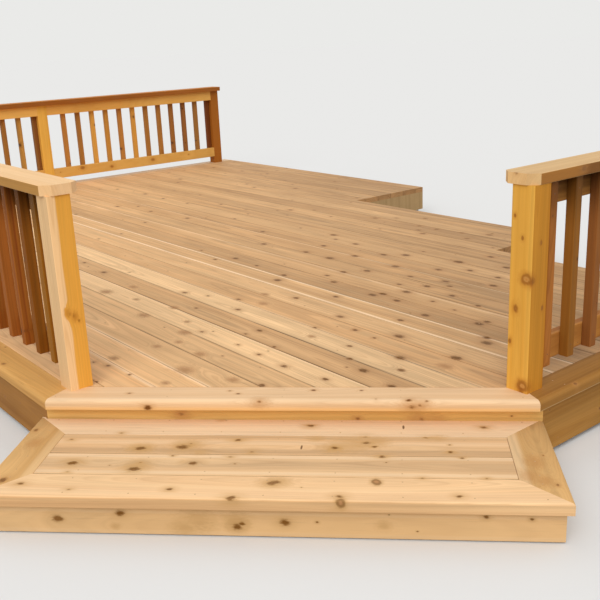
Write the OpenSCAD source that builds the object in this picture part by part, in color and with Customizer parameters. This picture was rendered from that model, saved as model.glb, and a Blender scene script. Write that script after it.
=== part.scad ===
// Low cedar deck with one wide step across its clipped corner.
// X runs along the deck boards, Y runs towards the house, Z is up, the ground is z = 0.

/* [Deck platform] */
// Length of the deck along its boards
deck_length = 6060; // [4400:10:7200]
// Height of the walking surface over the ground
deck_height = 241; // [232:1:330]
// Leg of the clipped corner, measured along each edge
clip_leg = 1237; // [900:1:1600]
// Depth from the front edge to the door wall
door_wall = 4080; // [3700:5:4700]
// Depth from the front edge to the window wall
window_wall = 3345; // [3100:5:3600]
// Depth from the front edge to the chase wall
chase_wall = 2800; // [2500:5:3000]
// Length of the chase wall, from the right edge
chase_length = 1415; // [1000:5:1900]
// Length from the right edge to the end of the window wall
window_end = 3175; // [2600:5:3900]
// Gap left between the deck and the house wall
wall_gap = 6; // [3:0.5:12]

/* [Deck boards] */
// Thickness of decking, treads, framing lumber and caps
lumber = 38; // [30:0.5:45]
// Radius of the eased arrises of boards and posts
arris_round = 3; // [1:0.5:6]
// Width of a field board
board_width = 138.5; // [120:0.5:145]
// Open joint between boards
board_gap = 1.1; // [0.8:0.1:6]
// Width of the picture frame boards round the deck
border_width = 122; // [100:0.5:150]
// Width of the ripped board behind the front frame board
filler_width = 92; // [60:0.5:138]
// Radius of the rounded arris of the frame boards
border_round = 18; // [6:0.5:26]
// How far the frame boards overhang the fascia
border_overhang = 20; // [10:0.5:40]
// How far the clipped edge board overhangs its riser
nosing_overhang = 46; // [25:0.5:60]

/* [Framing] */
// Height of joists and rim boards
joist_height = 140; // [120:1:160]
// Spacing of the joists
joist_spacing = 406; // [300:1:600]
// Height of the fascia boards
fascia_height = 184; // [140:1:190]
// Side of a square footing pad
pad_size = 300; // [200:5:400]

/* [Step] */
// Height of the step over the ground
step_height = 146; // [130:1:175]
// Distance from the deck nosing to the front of the step
step_reach = 502; // [400:1:600]
// How far the step runs past each end of the clipped edge
step_past = 33; // [20:1:60]
// How far the middle of the step lies left of the middle of the clipped edge
step_shift = 13; // [0:1:18]
// How far the back tread board runs under the deck riser
tread_lap = 16.5; // [8:0.5:30]
// Open joint between step boards
tread_gap = 1.5; // [0.8:0.1:5]
// Radius of the eased arris round the step
tread_round = 7; // [3:0.5:12]
// How far the tread overhangs the step riser
tread_overhang = 25; // [15:0.5:40]
// How far the tread overhangs the sides of the step
side_overhang = 17; // [12:0.5:25]
// Thickness of the sleepers below the step frame
sleeper = 19; // [12:0.5:32]
// Inset of the sleepers from the boards round the step
sleeper_inset = 5; // [2:0.5:20]
// Clearance of the step riser over the ground
riser_clear = 5; // [2:0.5:12]

/* [Guard rail] */
// Side of a square post
post_size = 89; // [80:0.5:100]
// Height of the posts over the deck
post_height = 725; // [650:1:950]
// Inset of the front posts, deck edge to post centre
front_inset = 150; // [110:1:180]
// Inset of the right posts, deck edge to post centre
right_inset = 112; // [100:1:180]
// Inset of the left end posts, deck edge to post centre
left_inset = 112; // [100:1:180]
// How far the left step post stands back from the clipped corner
left_post_back = 47; // [44:1:90]
// How far the right step post stands back from the clipped corner
right_post_back = 59; // [44:1:90]
// Length of the first bay of the left rail, post centre to post centre
left_bay_one = 1910; // [1500:5:2300]
// Gap between the last left post and the house wall
end_post_gap = 128; // [10:1:200]
// Height of the top and bottom rails
rail_height = 89; // [70:0.5:100]
// Opening below the bottom rail
rail_lift = 66; // [50:1:100]
// Side of a square baluster
baluster = 38; // [30:0.5:42]
// Opening between balusters
baluster_opening = 104; // [80:1:125]
// Widest opening left beside the last post of a bay
widest_opening = 152; // [120:1:200]
// Gap from the post on its right to the first baluster of a front bay
front_start = 60; // [5:1:100]
// Gap from the step post to the first baluster of the right rail
right_start = 20; // [5:1:100]
// Gap from the post towards the house to the first baluster of a left bay
left_start = 3; // [2:1:100]
// Width of the cap boards
cap_width = 140; // [125:0.5:160]
// How far the front and left caps overhang the outer face of a post
cap_overhang = 12; // [5:0.5:25]
// How far the right cap overhangs the outer face of a post
right_cap_overhang = 3; // [2:0.5:25]
// How far a cap overhangs the end of a step post
cap_end = 6; // [3:0.5:30]
// Leg of the two clipped corners of a cap
cap_clip = 33; // [20:0.5:45]

/* [Hidden] */
$fn = 64;
root2 = sqrt(2);
deck_under = deck_height - lumber;
joist_bottom = deck_under - joist_height;
fascia_bottom = deck_under - fascia_height;
tread_under = step_height - lumber;
frame_height = tread_under - sleeper;
chase_y = chase_wall - wall_gap;
window_y = window_wall - wall_gap;
door_y = door_wall - wall_gap;
chase_x = -(chase_length + wall_gap);
window_x = -(window_end + wall_gap);
fascia_in = border_overhang;
rim_in = border_overhang + lumber;
joist_in = border_overhang + 2 * lumber;
riser_in = nosing_overhang;
clip_rim_in = nosing_overhang + lumber;
clip_joist_in = nosing_overhang + 2 * lumber;
clip_inner_in = nosing_overhang + 3 * lumber;
field_in = border_width + board_gap;
field_start = field_in + filler_width + board_gap;
row_pitch = board_width + board_gap;
row_count = ceil((door_y - field_start) / row_pitch);
rows_front = floor(row_count / 3);
rows_middle = floor(2 * row_count / 3);
joist_count = ceil((deck_length - 2 * joist_in) / joist_spacing);
step_width = clip_leg * root2 + 2 * step_past;
step_deep = step_reach + nosing_overhang + tread_lap;
tread_width = (step_deep - 3 * tread_gap) / 4;
step_inner = step_width - 2 * side_overhang - 2 * lumber;
step_joists = 4;
nailed = 1;
step_right_corner = (step_width / 2 - step_shift + step_reach) / root2 - clip_leg / 2;
step_front_corner = (step_width / 2 + step_shift + step_reach) / root2 - clip_leg / 2;
middle_x = (step_right_corner - deck_length) / 2;
middle_y = (door_y - step_front_corner) / 2;
cap_under = deck_height + post_height;
rail_face = post_size / 2;
cap_out = post_size / 2 + cap_overhang;
cap_in = cap_width - cap_out;
right_cap_out = post_size / 2 + right_cap_overhang;
right_cap_in = cap_width - right_cap_out;
step_post_x = -(clip_leg + left_post_back);
step_post_y = clip_leg + right_post_back;
corner_post_x = left_inset - deck_length;
front_bay = (step_post_x - corner_post_x) / 3;
left_middle_y = front_inset + left_bay_one;
left_end_y = door_y - end_post_gap - post_size / 2;
left_bay_two = left_end_y - left_middle_y;
right_end_y = chase_y - wall_gap - post_size / 2;
right_bay = right_end_y - step_post_y;
light = "BurlyWood";
warm = "Peru";
golden = "Goldenrod";
red = "Sienna";
grey = "DarkGray";

// Places a piece drawn from the square front right corner of the deck.
module site() {
    translate([-middle_x, -middle_y, 0]) children();
}

// Places a piece drawn from the middle of the clipped edge, +X to the right, -Y out of the deck.
module at_edge() {
    site() translate([-clip_leg / 2, clip_leg / 2, 0]) rotate([0, 0, 45]) children();
}

// Places a piece of the step, drawn from the middle of its width.
module at_step() {
    at_edge() translate([-step_shift, 0, 0]) children();
}

// Corner of two edges inset from the front and the clipped edge.
function front_corner(front, clip) = [front - clip_leg - clip * root2, front];

// Corner of two edges inset from the right and the clipped edge.
function right_corner(right, clip) = [-right, clip_leg + clip * root2 - right];

// Section of a sawn piece with four eased arrises, from its low corner.
module eased(wide, high) {
    translate([arris_round, 0]) square([wide - 2 * arris_round, high]);
    translate([0, arris_round]) square([wide, high - 2 * arris_round]);
    for (x = [arris_round, wide - arris_round], y = [arris_round, high - arris_round])
        translate([x, y]) circle(arris_round);
}

// Section of a frame board, outer upper arris rounded at x = 0, inner upper arris eased.
module rounded_section(wide, round) {
    square([wide, lumber - round]);
    translate([round, 0]) square([wide - round - arris_round, lumber]);
    translate([wide - 2 * arris_round, 0]) square([2 * arris_round, lumber - arris_round]);
    translate([round, lumber - round]) circle(round);
    translate([wide - arris_round, lumber - arris_round]) circle(arris_round);
}

// Section run along X, its own x becoming Y.
module along_x(long) {
    rotate([90, 0, 90]) linear_extrude(long) children();
}

// Section run along Y.
module along_y(long) {
    translate([0, long, 0]) rotate([90, 0, 0]) linear_extrude(long) children();
}

// Flat outline raised from one height to another.
module slab(low, high) {
    translate([0, 0, low]) linear_extrude(high - low) children();
}

// Plan of the decking field inside the frame boards.
module field_plan() {
    polygon([
        [field_in - deck_length, field_in],
        front_corner(field_in, field_in),
        right_corner(field_in, field_in),
        [-field_in, chase_y],
        [chase_x, chase_y],
        [chase_x, window_y],
        [window_x, window_y],
        [window_x, door_y],
        [field_in - deck_length, door_y]]);
}

// Plan of the space for joists inside rims and ledgers.
module joist_plan() {
    polygon([
        [joist_in + lumber - deck_length, joist_in],
        front_corner(joist_in, clip_inner_in),
        right_corner(joist_in + lumber, clip_inner_in),
        [-joist_in - lumber, chase_y - lumber],
        [chase_x - lumber, chase_y - lumber],
        [chase_x - lumber, window_y - lumber],
        [window_x - lumber, window_y - lumber],
        [window_x - lumber, door_y - lumber],
        [joist_in + lumber - deck_length, door_y - lumber]]);
}

// One deck board, its near edge at y, cut to the field outline.
module field_board(y, wide) {
    site() intersection() {
        translate([-deck_length, y, deck_under]) along_x(deck_length) eased(wide, lumber);
        slab(deck_under - 1, deck_height + 1) field_plan();
    }
}

// Field rows numbered from first to last.
module rows(first, last) {
    for (row = [first : last]) field_board(field_start + row * row_pitch, board_width);
}

// Concrete pad with its low left corner at x, y.
module pad(x, y) {
    translate([x, y, 0]) cube([pad_size, pad_size, joist_bottom]);
}

module footing_pads() {
    color(grey) site() {
        for (column = [0 : 2 : joist_count - 1]) {
            left = joist_in + column * joist_spacing - deck_length;
            if (left < -clip_leg - clip_rim_in * root2 - pad_size) pad(left, rim_in);
            if (left < -joist_in - pad_size) {
                pad(left, clip_leg + clip_inner_in);
                pad(left, chase_y - pad_size);
            }
            if (left < window_x - pad_size) pad(left, door_y - pad_size);
        }
        pad(-rim_in - pad_size, (clip_leg + chase_y) / 2);
    }
    color(grey) for (side = [-1, 1]) at_edge() pad(side * clip_leg / 4 - pad_size / 2, clip_rim_in);
}

module step_sleepers() {
    front = tread_overhang + lumber + sleeper_inset - step_reach;
    color(red) for (place = [-3, -1, 1, 3])
        at_step() translate([place * step_inner / 8 - tread_width / 2, front, 0])
            cube([tread_width, clip_rim_in - sleeper_inset - front, sleeper]);
}

module rim_front() {
    color(warm) site() slab(joist_bottom, deck_under) polygon([
        [rim_in - deck_length, rim_in],
        front_corner(rim_in, clip_rim_in),
        front_corner(joist_in, clip_joist_in),
        [joist_in - deck_length, joist_in]]);
}

module rim_right() {
    color(warm) site() slab(joist_bottom, deck_under) polygon([
        right_corner(rim_in, clip_rim_in),
        [-rim_in, chase_y],
        [-joist_in, chase_y],
        right_corner(joist_in, clip_joist_in)]);
}

module rim_left() {
    color(warm) site() slab(joist_bottom, deck_under) polygon([
        [rim_in - deck_length, rim_in],
        [joist_in - deck_length, joist_in],
        [joist_in - deck_length, door_y],
        [rim_in - deck_length, door_y]]);
}

module rim_clip() {
    color(warm) site() slab(joist_bottom, deck_under) polygon([
        front_corner(rim_in, clip_rim_in),
        right_corner(rim_in, clip_rim_in),
        right_corner(joist_in, clip_joist_in),
        front_corner(joist_in, clip_joist_in)]);
}

// Second joists beside the rims, under the ends of the field boards.
module border_joists() {
    right_end = right_corner(joist_in, clip_inner_in)[1] + 2;
    color(warm) site() {
        slab(joist_bottom, deck_under) polygon([
            front_corner(joist_in, clip_joist_in),
            right_corner(joist_in, clip_joist_in),
            right_corner(joist_in, clip_inner_in),
            front_corner(joist_in, clip_inner_in)]);
        translate([joist_in - deck_length, joist_in, joist_bottom])
            cube([lumber, door_y - lumber - joist_in, joist_height]);
        translate([-joist_in - lumber, right_end, joist_bottom])
            cube([lumber, chase_y - lumber - right_end, joist_height]);
    }
}

module joists() {
    color(warm) site() for (column = [1 : joist_count - 1])
        slab(joist_bottom, deck_under) intersection() {
            joist_plan();
            translate([joist_in + column * joist_spacing - deck_length, 0]) square([lumber, door_wall]);
        }
}

// Boards bolted to the house walls, round the wall's corners too, that carry the joist and board ends.
module ledgers() {
    color(warm) site() slab(joist_bottom, deck_under) {
        polygon([
            [-joist_in, chase_y - lumber],
            [-joist_in, chase_y],
            [chase_x - lumber, chase_y],
            [chase_x - lumber, chase_y - lumber]]);
        polygon([
            [chase_x, window_y - lumber],
            [chase_x, window_y],
            [window_x - lumber, window_y],
            [window_x - lumber, window_y - lumber]]);
        polygon([
            [window_x, door_y - lumber],
            [window_x, door_y],
            [joist_in - deck_length, door_y],
            [joist_in - deck_length, door_y - lumber]]);
        polygon([
            [chase_x - lumber, chase_y],
            [chase_x, chase_y],
            [chase_x, window_y - lumber],
            [chase_x - lumber, window_y - lumber]]);
        polygon([
            [window_x - lumber, window_y],
            [window_x, window_y],
            [window_x, door_y - lumber],
            [window_x - lumber, door_y - lumber]]);
    }
}

// Short blocks between the joists along the middle of the deck.
module blocking() {
    middle = (clip_leg + clip_inner_in + chase_y) / 2;
    color(warm) site() for (column = [1 : joist_count - 2])
        translate([
            joist_in + column * joist_spacing + lumber - deck_length,
            middle + (column % 2) * lumber,
            joist_bottom])
            cube([joist_spacing - lumber, lumber, joist_height]);
}

module fascia_front() {
    color(golden) site() slab(fascia_bottom, deck_under) polygon([
        [fascia_in - deck_length, fascia_in],
        front_corner(fascia_in, riser_in),
        front_corner(rim_in, clip_rim_in),
        [rim_in - deck_length, rim_in]]);
}

module fascia_right() {
    color(golden) site() slab(fascia_bottom, deck_under) polygon([
        right_corner(fascia_in, riser_in),
        [-fascia_in, chase_y],
        [-rim_in, chase_y],
        right_corner(rim_in, clip_rim_in)]);
}

module fascia_left() {
    color(golden) site() slab(fascia_bottom, deck_under) polygon([
        [fascia_in - deck_length, fascia_in],
        [rim_in - deck_length, rim_in],
        [rim_in - deck_length, door_y],
        [fascia_in - deck_length, door_y]]);
}

// Low riser between the tread and the deck nosing.
module riser_deck() {
    color(golden) site() slab(step_height, deck_under) polygon([
        front_corner(fascia_in, riser_in),
        right_corner(fascia_in, riser_in),
        right_corner(rim_in, clip_rim_in),
        front_corner(rim_in, clip_rim_in)]);
}

module border_front() {
    color(light) site() intersection() {
        translate([-deck_length, 0, deck_under]) along_x(deck_length) rounded_section(border_width, border_round);
        slab(deck_under - 1, deck_height + 1) polygon([
            [-deck_length, 0],
            front_corner(0, 0),
            front_corner(border_width, border_width),
            [border_width - deck_length, border_width]]);
    }
}

module border_right() {
    color(light) site() intersection() {
        translate([0, 0, deck_under]) along_y(chase_y) mirror([1, 0]) rounded_section(border_width, border_round);
        slab(deck_under - 1, deck_height + 1) polygon([
            right_corner(0, 0),
            [0, chase_y],
            [-border_width, chase_y],
            right_corner(border_width, border_width)]);
    }
}

module border_left() {
    color(light) site() intersection() {
        translate([-deck_length, 0, deck_under]) along_y(door_y) rounded_section(border_width, border_round);
        slab(deck_under - 1, deck_height + 1) polygon([
            [-deck_length, 0],
            [border_width - deck_length, border_width],
            [border_width - deck_length, door_y],
            [-deck_length, door_y]]);
    }
}

// Rounded nosing board across the clipped corner.
module border_step() {
    color(light) intersection() {
        at_edge() translate([-clip_leg, 0, deck_under]) along_x(2 * clip_leg)
            rounded_section(border_width, border_round);
        site() slab(deck_under - 1, deck_height + 1) polygon([
            front_corner(0, 0),
            right_corner(0, 0),
            right_corner(border_width, border_width),
            front_corner(border_width, border_width)]);
    }
}

module deck_filler() {
    color(light) field_board(field_in, filler_width);
}

module deck_boards_front() {
    color(light) rows(0, rows_front - 1);
}

module deck_boards_middle() {
    color(light) rows(rows_front, rows_middle - 1);
}

module deck_boards_house() {
    color(light) rows(rows_middle, row_count - 1);
}

// Header, joists and back board below the treads, one nailed frame.
// Each joist runs a little way into the boards that it is nailed to.
module step_frame() {
    header = tread_overhang + lumber - step_reach;
    pitch = (step_inner - lumber) / (2 * step_joists);
    color(warm) translate([0, 0, sleeper]) {
        at_step() translate([-step_inner / 2, header, 0]) cube([step_inner, lumber, frame_height]);
        for (place = [-step_joists : step_joists])
            at_step() translate([place * pitch - lumber / 2, header + lumber - nailed, 0])
                cube([lumber, riser_in - header - lumber + nailed, frame_height]);
        at_edge() translate([2 * lumber - clip_leg / root2, riser_in - nailed, 0])
            cube([clip_leg * root2 - 4 * lumber, lumber + nailed, frame_height]);
    }
}

// Riser board across the front of the step.
module step_riser() {
    color(golden) at_step() translate([side_overhang - step_width / 2, tread_overhang - step_reach, riser_clear])
        cube([step_width - 2 * side_overhang, lumber, tread_under - riser_clear]);
}

// Boards closing the two sides of the step.
module step_sides() {
    color(golden) for (side = [0, 1])
        at_step() mirror([side, 0, 0])
            translate([side_overhang - step_width / 2, tread_overhang + lumber - step_reach, riser_clear])
                cube([lumber, step_reach - tread_overhang - lumber, tread_under - riser_clear]);
}

module tread_front() {
    color(light) at_step() intersection() {
        translate([-step_width / 2, -step_reach, tread_under]) along_x(step_width)
            rounded_section(tread_width, tread_round);
        slab(tread_under - 1, step_height + 1) polygon([
            [-step_width / 2, -step_reach],
            [step_width / 2, -step_reach],
            [step_width / 2 - tread_width, tread_width - step_reach],
            [tread_width - step_width / 2, tread_width - step_reach]]);
    }
}

// Boards along the two sides, mitred to the front and back boards.
module tread_sides() {
    color(light) difference() {
        for (side = [0, 1])
            at_step() mirror([side, 0, 0]) intersection() {
                translate([-step_width / 2, -step_reach, tread_under]) along_y(step_deep)
                    rounded_section(tread_width, tread_round);
                slab(tread_under - 1, step_height + 1) polygon([
                    [-step_width / 2, -step_reach],
                    [tread_width - step_width / 2, tread_width - step_reach],
                    [tread_width - step_width / 2, step_deep - tread_width - step_reach],
                    [-step_width / 2, step_deep - step_reach]]);
            }
        deck_clear();
    }
}

module tread_inner() {
    color(light) for (row = [1, 2])
        at_step() translate([
            tread_width + tread_gap - step_width / 2,
            row * (tread_width + tread_gap) - step_reach,
            tread_under])
            along_x(step_width - 2 * tread_width - 2 * tread_gap) eased(tread_width, lumber);
}

module tread_back() {
    color(light) difference() {
        at_step() intersection() {
            translate([-step_width / 2, step_deep - tread_width - step_reach, tread_under])
                along_x(step_width) eased(tread_width, lumber);
            slab(tread_under - 1, step_height + 1) polygon([
                [tread_width - step_width / 2, step_deep - tread_width - step_reach],
                [step_width / 2 - tread_width, step_deep - tread_width - step_reach],
                [step_width / 2, step_deep - step_reach],
                [-step_width / 2, step_deep - step_reach]]);
        }
        deck_clear();
    }
}

// Room for the fascia boards at the two back corners of the step.
module deck_clear() {
    front_end = front_corner(fascia_in, riser_in)[0] + 1;
    right_end = right_corner(fascia_in, riser_in)[1] - 1;
    site() slab(0, deck_height) {
        polygon([
            [-deck_length, fascia_in - 1],
            [front_end, fascia_in - 1],
            [front_end, rim_in],
            [-deck_length, rim_in]]);
        polygon([
            [1 - fascia_in, door_wall],
            [1 - fascia_in, right_end],
            [-rim_in, right_end],
            [-rim_in, door_wall]]);
    }
}

// Square post on the deck, placed by its centre.
module post(x, y) {
    site() translate([x - post_size / 2, y - post_size / 2, deck_height])
        linear_extrude(post_height) eased(post_size, post_size);
}

module post_step_left() {
    color(golden) post(step_post_x, front_inset);
}

module post_step_right() {
    color(golden) post(-right_inset, step_post_y);
}

module posts_front() {
    color(golden) {
        post(step_post_x - front_bay, front_inset);
        post(step_post_x - 2 * front_bay, front_inset);
        post(corner_post_x, front_inset);
    }
}

module posts_left() {
    color(golden) {
        post(corner_post_x, left_middle_y);
        post(corner_post_x, left_end_y);
    }
}

module post_house() {
    color(golden) post(-right_inset, right_end_y);
}

// Top and bottom rail of one bay along X, between the faces of two posts, inner face flush.
module bay_rails(bay) {
    for (low = [deck_height + rail_lift, cap_under - rail_height])
        translate([post_size / 2, rail_face - lumber, low]) along_x(bay - post_size) eased(lumber, rail_height);
}

// Balusters of one bay along X from a first gap, nailed to the outer faces of the rails.
module bay_balusters(bay, start) {
    pitch = baluster + baluster_opening;
    count = ceil((bay - post_size - start + baluster_opening - widest_opening) / pitch);
    for (number = [0 : count - 1])
        translate([
            post_size / 2 + start + number * pitch,
            rail_face - lumber - baluster,
            deck_height + rail_lift])
            linear_extrude(post_height - rail_lift - 4) eased(baluster, baluster);
}

// Puts a bay that is drawn from its first post onto the front, left or right side.
module front_place(number) {
    site() translate([step_post_x - number * front_bay, front_inset, 0]) mirror([1, 0, 0]) children();
}

module left_place(y) {
    site() translate([corner_post_x, y, 0]) rotate([0, 0, -90]) children();
}

module right_place() {
    site() translate([-right_inset, step_post_y, 0]) rotate([0, 0, 90]) children();
}

module rails_front() {
    color(warm) for (number = [0 : 2]) front_place(number) bay_rails(front_bay);
}

module rails_left() {
    color(warm) {
        left_place(left_middle_y) bay_rails(left_bay_one);
        left_place(left_end_y) bay_rails(left_bay_two);
    }
}

module rails_right() {
    color(warm) right_place() bay_rails(right_bay);
}

module balusters_front_1() {
    color(red) front_place(0) bay_balusters(front_bay, front_start);
}

module balusters_front_2() {
    color(red) front_place(1) bay_balusters(front_bay, front_start);
}

module balusters_front_3() {
    color(red) front_place(2) bay_balusters(front_bay, front_start);
}

module balusters_left_1() {
    color(red) left_place(left_middle_y) bay_balusters(left_bay_one, left_start);
}

module balusters_left_2() {
    color(red) left_place(left_end_y) bay_balusters(left_bay_two, left_start);
}

module balusters_right() {
    color(red) right_place() bay_balusters(right_bay, right_start);
}

// Cap of the front rail, its end at the step with two clipped corners.
module cap_front() {
    right = step_post_x + post_size / 2 + cap_end;
    left = corner_post_x - cap_out;
    out = front_inset - cap_out;
    in = front_inset + cap_in;
    color(light) site() intersection() {
        translate([left, out, cap_under]) along_x(right - left) eased(cap_width, lumber);
        slab(cap_under - 1, cap_under + lumber + 1) polygon([
            [left, out],
            [right - cap_clip, out],
            [right, out + cap_clip],
            [right, in - cap_clip],
            [right - cap_clip, in],
            [corner_post_x + cap_in, in]]);
    }
}

module cap_left() {
    out = corner_post_x - cap_out;
    in = corner_post_x + cap_in;
    front = front_inset - cap_out;
    back = left_end_y + post_size / 2 + wall_gap;
    color(light) site() intersection() {
        translate([out, front, cap_under]) along_y(back - front) eased(cap_width, lumber);
        slab(cap_under - 1, cap_under + lumber + 1) polygon([
            [out, front],
            [in, front_inset + cap_in],
            [in, back],
            [out, back]]);
    }
}

// Cap of the right rail, its end at the step with two clipped corners.
module cap_right() {
    front = step_post_y - post_size / 2 - cap_end;
    out = right_cap_out - right_inset;
    in = -right_inset - right_cap_in;
    color(light) site() intersection() {
        translate([in, front, cap_under]) along_y(chase_y - front) eased(cap_width, lumber);
        slab(cap_under - 1, cap_under + lumber + 1) polygon([
            [out - cap_clip, front],
            [out, front + cap_clip],
            [out, chase_y],
            [in, chase_y],
            [in, front + cap_clip],
            [in + cap_clip, front]]);
    }
}

footing_pads();
step_sleepers();
rim_front();
rim_right();
rim_left();
rim_clip();
border_joists();
joists();
ledgers();
blocking();
fascia_front();
fascia_right();
fascia_left();
riser_deck();
border_front();
border_right();
border_left();
border_step();
deck_filler();
deck_boards_front();
deck_boards_middle();
deck_boards_house();
step_frame();
step_riser();
step_sides();
tread_front();
tread_sides();
tread_inner();
tread_back();
post_step_left();
post_step_right();
posts_front();
posts_left();
post_house();
rails_front();
rails_left();
rails_right();
balusters_front_1();
balusters_front_2();
balusters_front_3();
balusters_left_1();
balusters_left_2();
balusters_right();
cap_front();
cap_left();
cap_right();
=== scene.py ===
import math

import bmesh
import bpy
from mathutils import Matrix, Vector
from mathutils.bvhtree import BVHTree


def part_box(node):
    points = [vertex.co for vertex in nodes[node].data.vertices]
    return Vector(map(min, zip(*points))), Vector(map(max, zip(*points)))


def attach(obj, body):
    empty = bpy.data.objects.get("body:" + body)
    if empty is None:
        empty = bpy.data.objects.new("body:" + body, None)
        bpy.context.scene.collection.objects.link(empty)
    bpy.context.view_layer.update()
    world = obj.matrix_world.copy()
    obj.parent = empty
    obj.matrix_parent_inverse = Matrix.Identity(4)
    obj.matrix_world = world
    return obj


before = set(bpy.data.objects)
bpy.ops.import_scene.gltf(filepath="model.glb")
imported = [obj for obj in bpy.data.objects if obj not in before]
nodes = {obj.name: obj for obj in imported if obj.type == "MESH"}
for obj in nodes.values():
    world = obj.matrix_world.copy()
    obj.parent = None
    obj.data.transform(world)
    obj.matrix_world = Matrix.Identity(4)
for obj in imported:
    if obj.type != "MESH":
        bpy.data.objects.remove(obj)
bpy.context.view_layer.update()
print("frame loaded:", len(nodes), "nodes")

# Where the boards lie, in metres. Y counts from the front, X from the right.
deckPlan = {
    "clipLeg": 1.237,  # leg of the clipped corner
    "stepShift": 0.013,  # how far the step stands out of the clipped edge
    "fieldStart": 0.2162,
    "rows": 28,
    "rowPitch": 0.1396,
    "boardWidth": 0.1385,
    "frameBoard": 0.038,  # thickness of the boards round the deck
    "treadStart": -0.502,
    "treadPitch": 0.1415,
    "treadWidth": 0.140,
    "frontBay": 1.554667,
    "leftBay": 1.910,
    "deckTop": 0.241,
    "stepTop": 0.146,
    "capTop": 1.004,
}
frameFoot = deckPlan["deckTop"] - deckPlan["frameBoard"]
# The deck's square front right corner, and the middle of the step on the clipped edge.
deckCorner = Vector((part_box("border_right")[1].x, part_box("border_front")[0].y, 0))
slant = math.sqrt(0.5)
edgeMiddle = deckCorner + Vector((-deckPlan["clipLeg"] / 2, deckPlan["clipLeg"] / 2, 0))
stepMiddle = edgeMiddle - Vector((slant, slant, 0)) * deckPlan["stepShift"]

# Camera

photoView = {
    "lens": 50.93,
    "place": (4.41069, -2.87099, 1.45380),
    "right": (0.6315875, 0.7741649, -0.0420225),
    "up": (-0.2039520, 0.2181937, 0.9543558),
    "back": (0.7479979, -0.5941887, 0.2957009),
}


def addCamera():
    lens = bpy.data.cameras.new("photoCamera")
    lens.lens = photoView["lens"]
    lens.sensor_width = 36
    lens.clip_start = 0.05
    lens.clip_end = 200
    camera = bpy.data.objects.new("photoCamera", lens)
    bpy.context.scene.collection.objects.link(camera)
    turned = Matrix((photoView["right"], photoView["up"], photoView["back"])).transposed().to_4x4()
    camera.matrix_world = Matrix.Translation(photoView["place"]) @ turned
    bpy.context.scene.camera = camera


# Shader helpers

class Wire:
    # one socket, so that an expression on it adds its Math nodes
    def __init__(self, bench, socket):
        self.bench = bench
        self.socket = socket

    def __add__(self, other):
        return self.bench.maths("ADD", self, other)

    def __radd__(self, other):
        return self.bench.maths("ADD", other, self)

    def __sub__(self, other):
        return self.bench.maths("SUBTRACT", self, other)

    def __rsub__(self, other):
        return self.bench.maths("SUBTRACT", other, self)

    def __mul__(self, other):
        return self.bench.maths("MULTIPLY", self, other)

    def __rmul__(self, other):
        return self.bench.maths("MULTIPLY", other, self)

    def __truediv__(self, other):
        return self.bench.maths("DIVIDE", self, other)

    def lowest(self, other):
        return self.bench.maths("MINIMUM", self, other)

    def highest(self, other):
        return self.bench.maths("MAXIMUM", self, other)

    def whole(self):
        return self.bench.maths("FLOOR", self)

    def part(self):
        return self.bench.maths("FRACT", self)

    def size(self):
        return self.bench.maths("ABSOLUTE", self)

    def root(self):
        return self.bench.maths("SQRT", self)

    def band(self, low, high):
        settings = {"interpolation_type": "SMOOTHSTEP"}
        return self.bench.wire("MapRange", settings, {0: self, 1: low, 2: high, 3: 0.0, 4: 1.0})


class Bench:
    # the bench where one material, or the world, is put together
    def __init__(self, name, look=None):
        self.look = look or bpy.data.materials.new(name)
        self.look.use_nodes = True
        self.tree = self.look.node_tree
        self.tree.nodes.clear()

    def node(self, kind, settings=None, inputs=None):
        made = self.tree.nodes.new("ShaderNode" + kind)
        for key, value in (settings or {}).items():
            if key == "stops":
                stops = made.color_ramp.elements
                while len(stops) < len(value):
                    stops.new(0.5)
                for stop, (place, shade) in zip(stops, value):
                    stop.position = place
                    stop.color = (shade, shade, shade, 1)
            else:
                setattr(made, key, value)
        for key, value in (inputs or {}).items():
            socket = made.inputs[key]
            if isinstance(value, Wire):
                self.tree.links.new(value.socket, socket)
            else:
                # a colour is written without its alpha
                socket.default_value = (*value, 1) if socket.type == "RGBA" else value
        return made

    def wire(self, kind, settings=None, inputs=None, output=0):
        return Wire(self, self.node(kind, settings, inputs).outputs[output])

    def maths(self, operation, *values):
        return self.wire("Math", {"operation": operation}, dict(enumerate(values)))

    def vectors(self, operation, *values, output=0):
        return self.wire("VectorMath", {"operation": operation}, dict(enumerate(values)), output)

    def towards(self, vector, axis):
        return self.vectors("DOT_PRODUCT", vector, axis, output="Value")

    # how far a vector is from a spot, once its axes are scaled
    def gap(self, vector, spot, scale):
        scaled = self.vectors("MULTIPLY", self.vectors("SUBTRACT", vector, spot), scale)
        return self.vectors("LENGTH", scaled, output="Value")

    def split(self, colour):
        parts = self.node("SeparateColor", None, {0: colour}).outputs
        return [Wire(self, parts[index]) for index in range(3)]

    def joined(self, first, second, third):
        return self.wire("CombineXYZ", None, {0: first, 1: second, 2: third})

    def noise(self, vector, detail=2.0, rough=0.5):
        inputs = {"Vector": vector, "Scale": 1.0, "Detail": detail, "Roughness": rough}
        return self.wire("TexNoise", {"noise_dimensions": "3D"}, inputs)

    def mixed(self, share, first, second, blend="MIX"):
        settings = {"data_type": "RGBA", "blend_type": blend}
        return self.wire("Mix", settings, {0: share, 6: first, 7: second}, 2)

    # 1 where the camera, a gloss or a clear surface looks at it
    def seen(self):
        rays = self.node("LightPath")
        camera, gloss, clear = [Wire(self, rays.outputs["Is %s Ray" % kind])
                                for kind in ("Camera", "Glossy", "Transmission")]
        return camera.highest(gloss).highest(clear)

    def finish(self, inputs, surface="BsdfPrincipled"):
        shader = self.wire(surface, None, inputs)
        self.node("OutputMaterial", None, {"Surface": shader})
        return self.look


def paint(*namesThenLook):
    *names, look = namesThenLook
    for name in names:
        slots = nodes[name].data.materials
        slots.clear()
        slots.append(look)


# Wood

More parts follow.
